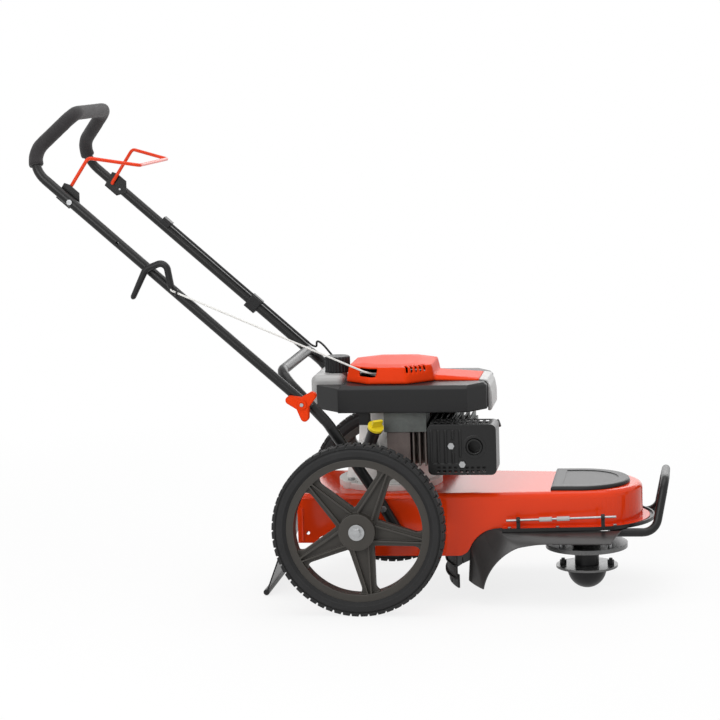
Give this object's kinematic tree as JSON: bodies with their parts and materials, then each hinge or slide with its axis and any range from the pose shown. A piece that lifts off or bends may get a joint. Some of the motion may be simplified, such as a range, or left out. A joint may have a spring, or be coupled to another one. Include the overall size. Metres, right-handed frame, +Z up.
{
  "type": "wheeled string trimmer",
  "caption": "Walk-behind string trimmer with large spoked wheels, an orange deck, a vertical-shaft petrol engine, a belt-driven head on a ground ball and a folding handle with a bail",
  "frame": {"origin": "on the ground, midway along and across the whole machine", "axes": "+X forward to the nose, +Y to the machine's left, +Z up"},
  "size_m": [1.3902, 0.6146, 1.1235],
  "materials": {
    "orange_paint": "gloss",
    "orange_plastic": "gloss",
    "black_plastic": "matte",
    "black_paint": "satin",
    "guard_plastic": "satin",
    "wheel_plastic": "matte",
    "tyre_rubber": "matte",
    "soft_rubber": "matte",
    "foam": "matte",
    "zinc_steel": "zinc plated",
    "cast_alloy": "as cast",
    "pale_plastic": "satin",
    "guard_steel": "satin",
    "yellow_plastic": "gloss",
    "pale_cord": "braided"
  },
  "bodies": {
    "chassis": {"deck": "orange_paint", "nose_pad": "black_plastic", "base_plate": "black_paint", "rear_guard": "guard_plastic", "side_wings": "guard_plastic", "guard_flap": "soft_rubber", "side_rod": "zinc_steel", "rod_sleeves": "pale_plastic", "rod_clips": "black_plastic", "bumper": "black_paint", "axle": "zinc_steel", "wheel_bolts": "zinc_steel", "rear_stand": "black_paint", "stand_bar": "black_plastic", "lower_handle": "black_paint", "frame_bolts": "zinc_steel", "spindle_housing": "black_paint", "spindle_bearings": "zinc_steel", "guard_plate": "guard_steel", "drive_belt": "soft_rubber", "engine_block": "cast_alloy", "engine_bolts": "zinc_steel", "blower_housing": "black_plastic", "recoil_cover": "orange_plastic", "cowl_cap": "pale_plastic", "fuel_tank": "pale_plastic", "muffler": "black_paint", "muffler_guard": "black_paint", "oil_neck": "black_plastic", "air_cleaner": "black_plastic", "spark_plug": "soft_rubber", "cable_lower": "black_plastic"},
    "crank": {"crankshaft": "zinc_steel", "drive_pulley": "black_paint", "flywheel": "cast_alloy"},
    "head": {"spindle": "zinc_steel", "spindle_pulley": "black_paint", "head_hub": "black_plastic", "line_disc": "guard_steel", "line_posts": "black_paint", "ground_ball": "black_plastic"},
    "upper_handle": {"upper_handle": "black_paint", "foam_grip": "foam", "bail_brackets": "black_paint", "rope_guide": "black_paint", "cable_clips": "black_plastic", "handle_screws": "zinc_steel", "cable_upper": "black_plastic"},
    "bail": {"bail": "orange_paint"},
    "wheel_right": {"wheel_right": "wheel_plastic", "tyre_right": "tyre_rubber"},
    "wheel_left": {"wheel_left": "wheel_plastic", "tyre_left": "tyre_rubber"},
    "knob_right": {"knob_right": "orange_plastic"},
    "knob_left": {"knob_left": "orange_plastic"},
    "starter": {"starter_grip": "black_plastic", "starter_rope": "pale_cord"},
    "recoil_pulley": {"recoil_pulley": "black_plastic"},
    "fuel_cap": {"fuel_cap": "black_plastic"},
    "dipstick": {"dipstick": "yellow_plastic"}
  },
  "joints": [
    {"name": "wheel_right_spin", "type": "hinge", "parent": "chassis", "child": "wheel_right", "pos_m": [0.02362, -0.265, 0.19], "axis": [0, 1, 0], "continuous": true},
    {"name": "wheel_left_spin", "type": "hinge", "parent": "chassis", "child": "wheel_left", "pos_m": [0.02362, 0.265, 0.19], "axis": [0, 1, 0], "continuous": true},
    {"name": "crank_spin", "type": "hinge", "parent": "chassis", "child": "crank", "pos_m": [0.06162, 0, 0.3], "axis": [0, 0, 1], "continuous": true},
    {"name": "head_spin", "type": "hinge", "parent": "chassis", "child": "head", "pos_m": [0.50562, 0, 0.13], "axis": [0, 0, 1], "continuous": true},
    {"name": "handle_fold", "type": "hinge", "parent": "chassis", "child": "upper_handle", "pos_m": [-0.09588, 0, 0.464], "axis": [0, 1, 0], "range_deg": [0, 128], "deforming": ["starter_rope", "cable_lower"]},
    {"name": "bail_swing", "type": "hinge", "parent": "upper_handle", "child": "bail", "pos_m": [-0.61771, 0, 0.93057], "axis": [0, -1, 0], "range_deg": [0, 60], "stiffness_Nm_per_rad": 1.2, "springref_deg": -17.19},
    {"name": "knob_right_turn", "type": "hinge", "parent": "chassis", "child": "knob_right", "pos_m": [-0.09588, -0.24, 0.464], "axis": [0, 1, 0], "continuous": true},
    {"name": "knob_left_turn", "type": "hinge", "parent": "chassis", "child": "knob_left", "pos_m": [-0.09588, 0.24, 0.464], "axis": [0, 1, 0], "continuous": true},
    {"name": "starter_pull", "type": "slide", "parent": "upper_handle", "child": "starter", "axis": [-0.8515, -0.2943, 0.4341], "range_m": [0, 0.4], "stiffness_N_per_m": 20, "springref_m": -0.3, "deforming": ["starter_rope"]},
    {"name": "recoil_spin", "type": "hinge", "parent": "chassis", "child": "recoil_pulley", "pos_m": [0.06162, 0, 0.497], "axis": [0, 0, -1], "range_deg": [0, 480]},
    {"name": "fuel_cap_turn", "type": "hinge", "parent": "chassis", "child": "fuel_cap", "pos_m": [-0.05538, 0.006, 0.52], "axis": [0, 0, 1], "continuous": true},
    {"name": "dipstick_turn", "type": "hinge", "parent": "chassis", "child": "dipstick", "pos_m": [0.04962, -0.147, 0.394], "axis": [0.3519, -0.4496, 0.821], "continuous": true}
  ],
  "couplings": [
    {"joint": "head_spin", "follows": "crank_spin", "ratio": 0.66},
    {"joint": "recoil_spin", "follows": "starter_pull", "rad_per_m": 20.833}
  ]
}
